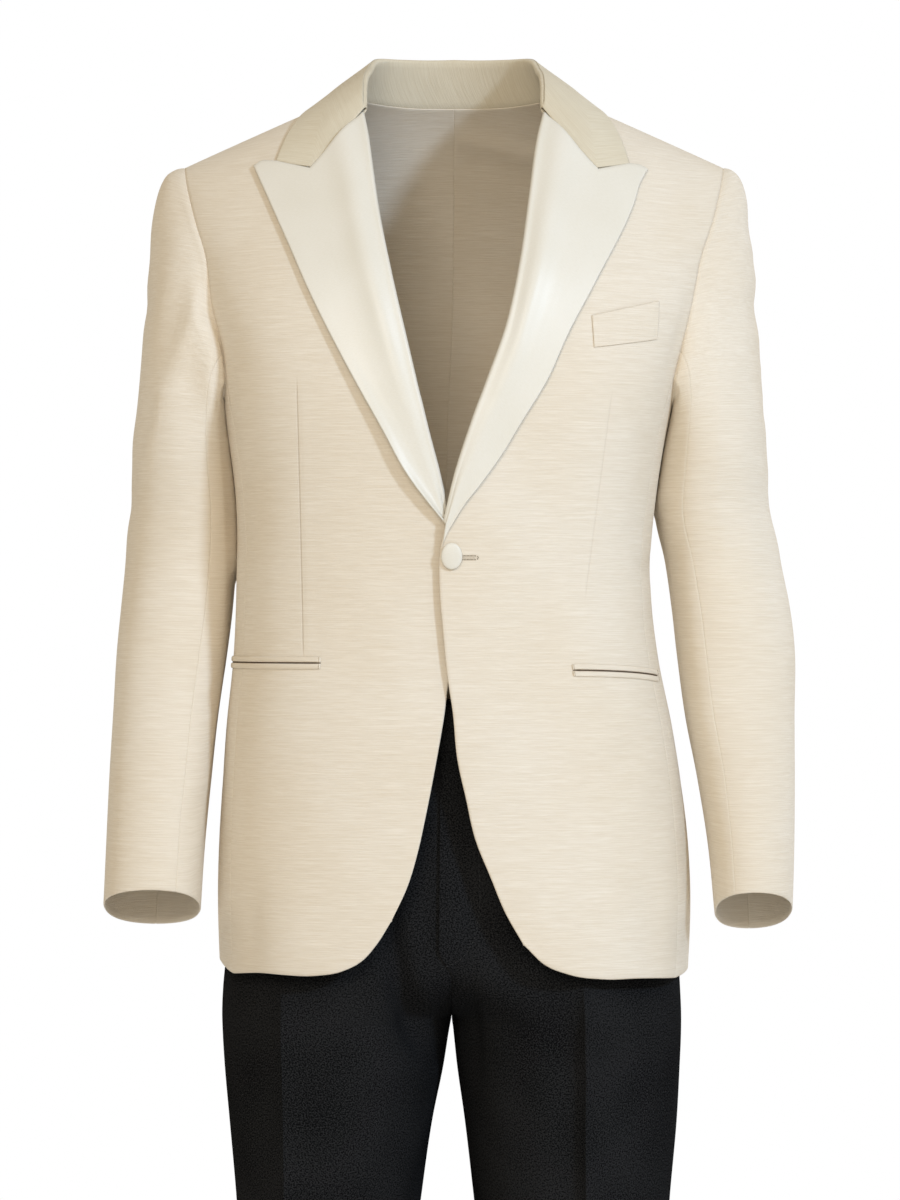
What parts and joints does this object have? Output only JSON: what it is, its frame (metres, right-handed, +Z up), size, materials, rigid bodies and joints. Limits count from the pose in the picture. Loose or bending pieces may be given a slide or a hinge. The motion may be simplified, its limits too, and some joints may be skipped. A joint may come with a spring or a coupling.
{
  "type": "tuxedo, one-button dinner jacket and trousers",
  "caption": "Dinner jacket with satin peak lapels and covered button, over plain black trousers, in the pose in which it is worn, hollow inside.",
  "frame": {"origin": "where the wearer's shoulders carry the jacket: the body's mid-plane, between the shoulders, at the height of the base of the neck", "axes": "+Z up, along the standing body; -Y out of the front; +X towards the wearer's left"},
  "size_m": [0.574, 0.3104, 1.6204],
  "materials": {
    "jacket_cloth": "ivory slubbed suiting, matt",
    "lapel_satin": "ivory satin, soft sheen",
    "button_satin": "covered with the lapels' satin",
    "trouser_cloth": "black wool, matt"
  },
  "bodies": {
    "root": {"front_left": "jacket_cloth", "front_right": "jacket_cloth", "side_left": "jacket_cloth", "side_right": "jacket_cloth", "back_left": "jacket_cloth", "back_right": "jacket_cloth", "collar": "jacket_cloth", "sleeve_upper_left": "jacket_cloth", "sleeve_upper_right": "jacket_cloth", "sleeve_under_left": "jacket_cloth", "sleeve_under_right": "jacket_cloth", "breast_welt": "jacket_cloth", "hip_jet_upper_left": "jacket_cloth", "hip_jet_upper_right": "jacket_cloth", "hip_jet_lower_left": "jacket_cloth", "hip_jet_lower_right": "jacket_cloth", "lapel_left": "lapel_satin", "lapel_right": "lapel_satin", "front_button": "button_satin", "trouser_front_left": "trouser_cloth", "trouser_front_right": "trouser_cloth", "trouser_back_left": "trouser_cloth", "trouser_back_right": "trouser_cloth", "waistband_left": "trouser_cloth", "waistband_right": "trouser_cloth"}
  },
  "joints": []
}
